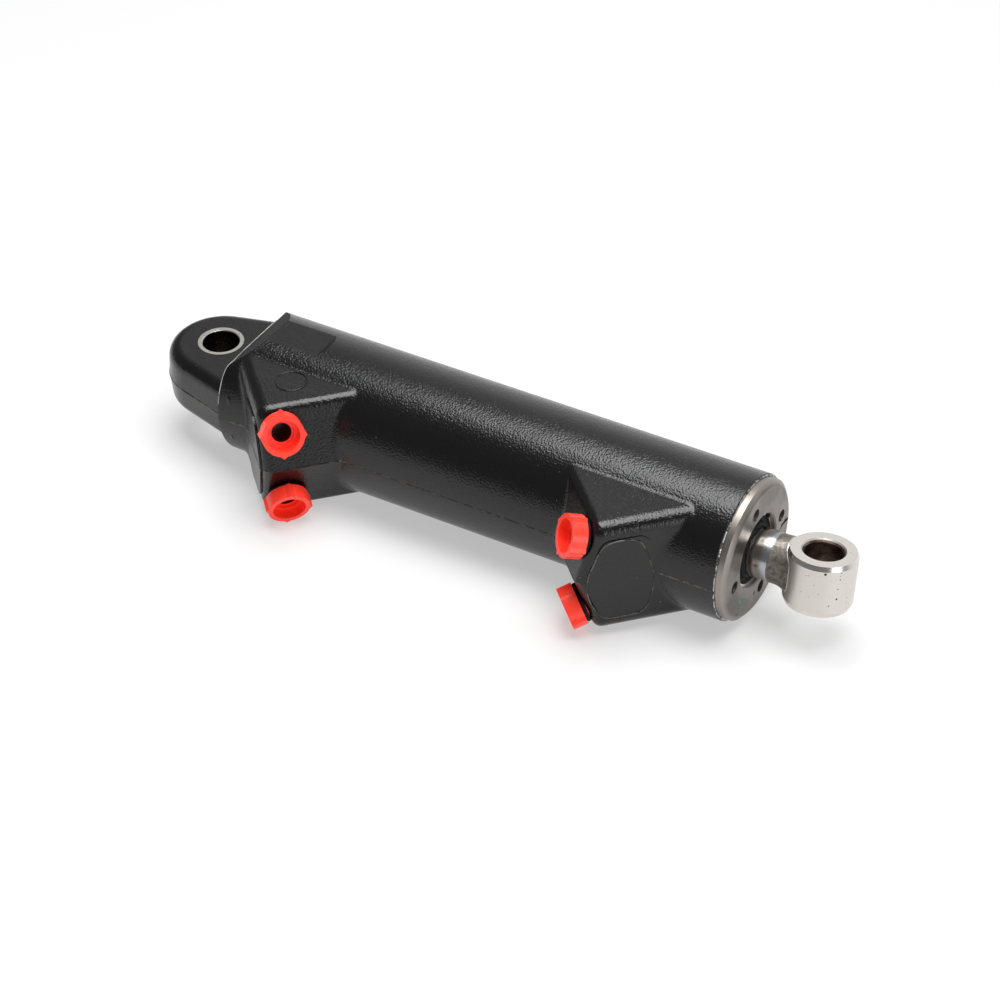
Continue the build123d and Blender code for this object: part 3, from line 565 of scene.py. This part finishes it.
# The rod is hard chromed and polished. The weld to the eye has left a band of heat
# colour on its end: straw, then brown, then blue.
WELD_PLACE = 0.3205
HEAT_BEFORE, HEAT_PAST = 0.009, 0.0005
HEAT_COLOURS = (
    (0.25, (0.70, 0.64, 0.56, 1)), (0.5, (0.60, 0.57, 0.54, 1)), (0.8, (0.50, 0.54, 0.58, 1)),
)
chrome, tree, shader = new_material("hard_chrome")
shader.inputs["Metallic"].default_value = 1.0
place = object_place(tree)
wander = maths(tree, "MULTIPLY_ADD", noise(tree, place, 90.0, 3.0), 0.003, -0.0015)
heat_place = maths(tree, "ADD", axes(tree, place)[0], wander)
heat = put(
    tree, "ShaderNodeMapRange", Value=heat_place,
    **{"From Min": WELD_PLACE - HEAT_BEFORE, "From Max": WELD_PLACE + HEAT_PAST},
).outputs[0]
tint = put(tree, "ShaderNodeValToRGB", Fac=heat)
stops = tint.color_ramp.elements
stops[0].position, stops[0].color = 0.0, (0.72, 0.72, 0.73, 1)
stops[1].position, stops[1].color = 1.0, (0.40, 0.44, 0.48, 1)
for position, colour in HEAT_COLOURS:
    stops.new(position).color = colour
feed(shader, "Base Color", tint.outputs[0])
feed(shader, "Roughness", maths(tree, "MULTIPLY_ADD", heat, 0.18, 0.11))
add_relief(tree, shader, marks_along_x(tree, place, 2500.0), 0.08, 0.00005)
dress(chrome, "piston_rod")

# The rod eye is a steel forging, welded to the rod: its neck is left as forged and scaled,
# and the eye is turned to a satin finish, with small pits and rust specks.
EYE_PLACE = 0.34385
EYE_RADIUS = 0.0172
EYE_TURN = math.radians(-9.9)
EYE_DROP = 0.0011
EYE_HALF = 0.014
EYE_BEVEL = 0.0024
EYE_MOUTH = 0.0130
FACE_SKIN = 0.00004
PIT_CORE = 0.7
SATIN_STEEL, RUST_SPECK = (0.67, 0.63, 0.595, 1), (0.26, 0.14, 0.08, 1)
DARK_SCALE, PALE_SCALE = (0.135, 0.12, 0.104, 1), (0.27, 0.247, 0.218, 1)
EYE_PIT = (0.015, 0.012, 0.010, 1)
EYE_PITS = (
    (-62, 0.0095, 0.00075), (-38, -0.0045, 0.0006), (-35, 0.0098, 0.0004),
    (-36, 0.0062, 0.0004), (-38, 0.0010, 0.0004), (-50, -0.0080, 0.0004),
)
eye_steel, tree, shader = new_material("eye_steel")
shader.inputs["Metallic"].default_value = 1.0
place = object_place(tree)
moved = vector_maths(tree, "SUBTRACT", place, (EYE_PLACE, 0, 0))
upright = put(tree, "ShaderNodeMapping", Vector=moved, Rotation=(-EYE_TURN, 0, 0)).outputs[0]
along, across, up = axes(tree, upright)
away = distance_across(tree, along, across)
forged = band(tree, away, EYE_RADIUS + 0.00003, EYE_RADIUS + 0.0002)
scale = noise(tree, place, 400.0, 6.0, 0.65)
marks = use(tree, turned_marks, Vector=upright, Pitch=1700.0).outputs[0]
specks = use(
    tree, dust_specks,
    **{"Vector": place, "Cell Scale": 700.0, "Speck Size": 0.2, "Share": 0.42},
)
satin = blend_colour(tree, specks.outputs["Mask"], SATIN_STEEL, RUST_SPECK)
for degrees, rise, radius in EYE_PITS:
    turn = math.radians(degrees)
    pit = (EYE_RADIUS * math.cos(turn), EYE_RADIUS * math.sin(turn), rise)
    reach = vector_maths(tree, "DISTANCE", upright, pit, "Value")
    satin = patchy(tree, reach, radius, radius * PIT_CORE, satin, EYE_PIT)
above = maths(tree, "ABSOLUTE", maths(tree, "ADD", up, EYE_DROP))
under_face = maths(tree, "LESS_THAN", above, EYE_HALF - FACE_SKIN)
over_bevel = maths(tree, "GREATER_THAN", above, EYE_HALF - EYE_BEVEL)
outside_mouth = maths(tree, "GREATER_THAN", away, EYE_MOUTH)
edge_cut = maths(
    tree, "MULTIPLY", under_face, maths(tree, "MULTIPLY", over_bevel, outside_mouth)
)
scaled = patchy(tree, scale, 0.3, 0.7, DARK_SCALE, PALE_SCALE)
feed(shader, "Base Color", blend_colour(tree, forged, satin, scaled))
satin_rough = maths(
    tree, "ADD", maths(tree, "MULTIPLY_ADD", marks, 0.2, 0.32), maths(tree, "MULTIPLY", forged, 0.2)
)
bevel_polish = maths(tree, "MULTIPLY_ADD", edge_cut, -0.4, 1.0)
feed(shader, "Roughness", maths(tree, "MULTIPLY", satin_rough, bevel_polish))
relief = maths(
    tree, "ADD", maths(tree, "MULTIPLY", marks, 0.12),
    maths(tree, "MULTIPLY", maths(tree, "MULTIPLY", scale, 3.0), forged),
)
add_relief(tree, shader, relief, 0.6, 0.0003)
dress(eye_steel, "rod_eye")

# The eye's own bush is a thin sleeve of bronze, pressed into the eye's bore and browned by
# grease.
DARK_GREASE, WORN_BRONZE = (0.10, 0.075, 0.06, 1), (0.24, 0.18, 0.14, 1)
wrapped_bronze, tree, shader = new_material("wrapped_bronze")
shader.inputs["Metallic"].default_value = 1.0
grease = noise(tree, object_place(tree), 220.0, 4.0, 0.6)
feed(shader, "Base Color", patchy(tree, grease, 0.35, 0.65, DARK_GREASE, WORN_BRONZE))
feed(shader, "Roughness", maths(tree, "MULTIPLY_ADD", grease, 0.3, 0.2))
add_relief(tree, shader, grease, 0.2, 0.0002)
dress(wrapped_bronze, "rod_eye_bush")

# The transit plugs are moulded in soft red plastic, glossy. Outside their deep hollow they
# glow a faint red, a painted light, and the hollow is painted near black, a painted shade.
PLUG_MIRROR = 0.1578
PLUG_SHIFT = 1.0
PLUG_PLACE = (0.08435, 0.94593, 0.0207)
PLUG_AXIS = (-0.671345, -0.671345, 0.313992)
PLUG_RISE = 0.0074
PLUG_HOLE = 0.0050
HOLLOW_EDGE = 0.0002
HOLLOW_START, HOLLOW_END = 0.0008, 0.0045
DEEP_RED, LIGHT_RED = (0.92, 0.035, 0.018, 1), (0.97, 0.060, 0.032, 1)
HOLLOW_SHADE = (0.10, 0.003, 0.002, 1)
PAINTED_RED_GLOW, NO_GLOW = (1.0, 0.03, 0.012, 1), (0.0, 0.0, 0.0, 1)
plug_plastic, tree, shader = new_material("plug_plastic")
place = object_place(tree)
flow = noise(tree, place, 160.0, 2.0)
# The four plugs mirror each other, so one plug's axis serves all: the place is folded about
# PLUG_MIRROR and about the middle plane, and a shift along y keeps that coordinate unfolded.
from_middle = vector_maths(tree, "SUBTRACT", place, (PLUG_MIRROR, -PLUG_SHIFT, 0.0))
mirrored = vector_maths(tree, "ABSOLUTE", from_middle)
from_plug = vector_maths(tree, "SUBTRACT", mirrored, PLUG_PLACE)
across = vector_maths(tree, "CROSS_PRODUCT", from_plug, PLUG_AXIS)
away = vector_maths(tree, "LENGTH", across, output="Value")
sunk = vector_maths(tree, "DOT_PRODUCT", from_plug, PLUG_AXIS, "Value")
# The deep part of the hollow is painted near black: painted shade.
hollow_shade = maths(
    tree, "MULTIPLY", band(tree, away, PLUG_HOLE + HOLLOW_EDGE, PLUG_HOLE),
    band(tree, sunk, PLUG_RISE - HOLLOW_START, PLUG_RISE - HOLLOW_END),
)
skin = blend_colour(tree, flow, DEEP_RED, LIGHT_RED)
feed(shader, "Base Color", blend_colour(tree, hollow_shade, skin, HOLLOW_SHADE))
# The faint red emission outside the hollow is painted light; the plugs are no lamp.
feed(shader, "Emission Color", blend_colour(tree, hollow_shade, PAINTED_RED_GLOW, NO_GLOW))
shader.inputs["Emission Strength"].default_value = 0.14
feed(shader, "Roughness", maths(tree, "MULTIPLY_ADD", flow, 0.2, 0.2))
add_relief(tree, shader, flow, 0.15, 0.0003)
dress(
    plug_plastic, "port_plug_base_upper", "port_plug_base_lower",
    "port_plug_rod_upper", "port_plug_rod_lower",
)

# The stage: a pale floor that the barrel and the lower plugs rest on, soft light from
# above, from behind and from the gland's end, and a dark room on the camera's side.
FLOOR_SIZE = 30
FLOOR_TILT = math.radians(3.2)
BARREL_RADIUS = 0.0375
MIDDLE_PLACE = (0.17, 0, 0)
ROOM_DARK, ROOM_LIT = (0.19, 0.19, 0.193, 1), (1.0, 1.0, 1.0, 1)
bpy.ops.object.select_all(action="DESELECT")
bpy.ops.mesh.primitive_plane_add(size=FLOOR_SIZE)
floor = bpy.context.object
floor.name = "floor"
floor.rotation_euler = (-FLOOR_TILT, 0, 0)
floor_normal = Vector((0, math.sin(FLOOR_TILT), math.cos(FLOOR_TILT)))
floor.location = Vector(MIDDLE_PLACE) - floor_normal * BARREL_RADIUS
pale, tree, shader = new_material("pale_floor")
shader.inputs["Base Color"].default_value = (0.375, 0.375, 0.375, 1)
shader.inputs["Emission Color"].default_value = (1, 1, 1, 1)
shader.inputs["Roughness"].default_value = 0.9
shader.inputs["Emission Strength"].default_value = 0.46
floor.data.materials.append(pale)

world = bpy.data.worlds.new("studio")
bpy.context.scene.world = world
world.use_nodes = True
tree = world.node_tree
tree.nodes.clear()
east, north, up = axes(tree, put(tree, "ShaderNodeTexCoord").outputs["Generated"])
behind = band(tree, north, 0.15, 0.6)
lower = band(tree, up, 0.75, 0.25)
inward = band(tree, east, -0.68, -0.5)
lit = maths(
    tree, "MULTIPLY", maths(tree, "MULTIPLY", behind, inward),
    maths(tree, "MULTIPLY_ADD", lower, 0.4, 0.5),
)
glow = blend_colour(tree, lit, ROOM_DARK, ROOM_LIT)
backdrop = put(tree, "ShaderNodeBackground", Color=glow, Strength=1.0)
tree.links.new(backdrop.outputs[0], put(tree, "ShaderNodeOutputWorld").inputs[0])


def add_soft_light(name, direction, distance, width, length, power):
    """A rectangular soft box that faces the middle of the cylinder."""
    bpy.ops.object.light_add(type="AREA")
    light = bpy.context.object
    light.name = name
    light.data.shape = "RECTANGLE"
    light.data.size, light.data.size_y = length, width
    light.data.energy = power
    towards = Vector(direction).normalized()
    light.location = Vector(MIDDLE_PLACE) + towards * distance
    light.rotation_euler = towards.to_track_quat("Z", "Y").to_euler()


add_soft_light(
    "overhead_box", direction=(0.05, 0.10, 0.99), distance=1.6, width=1.05, length=1.5, power=40
)
add_soft_light(
    "side_box", direction=(0.93, -0.30, 0.20), distance=1.8, width=0.9, length=0.85, power=6
)

# The camera stands where the photograph was taken from, at the distance and turn that
# the pins, the barrel and the gland gave.
LENS = 108.03
SENSOR_WIDTH = 36.0
CAMERA_PLACE = (0.775547, -1.011921, 0.924791)
CAMERA_AZIMUTH = math.radians(31.04)
CAMERA_ELEVATION = math.radians(38.79)
CAMERA_ROLL = math.radians(-1.35)
camera_data = bpy.data.cameras.new("camera")
camera_data.lens = LENS
camera_data.sensor_width = SENSOR_WIDTH
camera = bpy.data.objects.new("camera", camera_data)
bpy.context.scene.collection.objects.link(camera)
aim = (
    Matrix.Rotation(CAMERA_AZIMUTH, 3, "Z")
    @ Matrix.Rotation(math.pi / 2 - CAMERA_ELEVATION, 3, "X")
    @ Matrix.Rotation(CAMERA_ROLL, 3, "Z")
)
camera.location = CAMERA_PLACE
camera.rotation_euler = aim.to_euler()
bpy.context.scene.camera = camera
bpy.context.scene.view_settings.view_transform = "Standard"
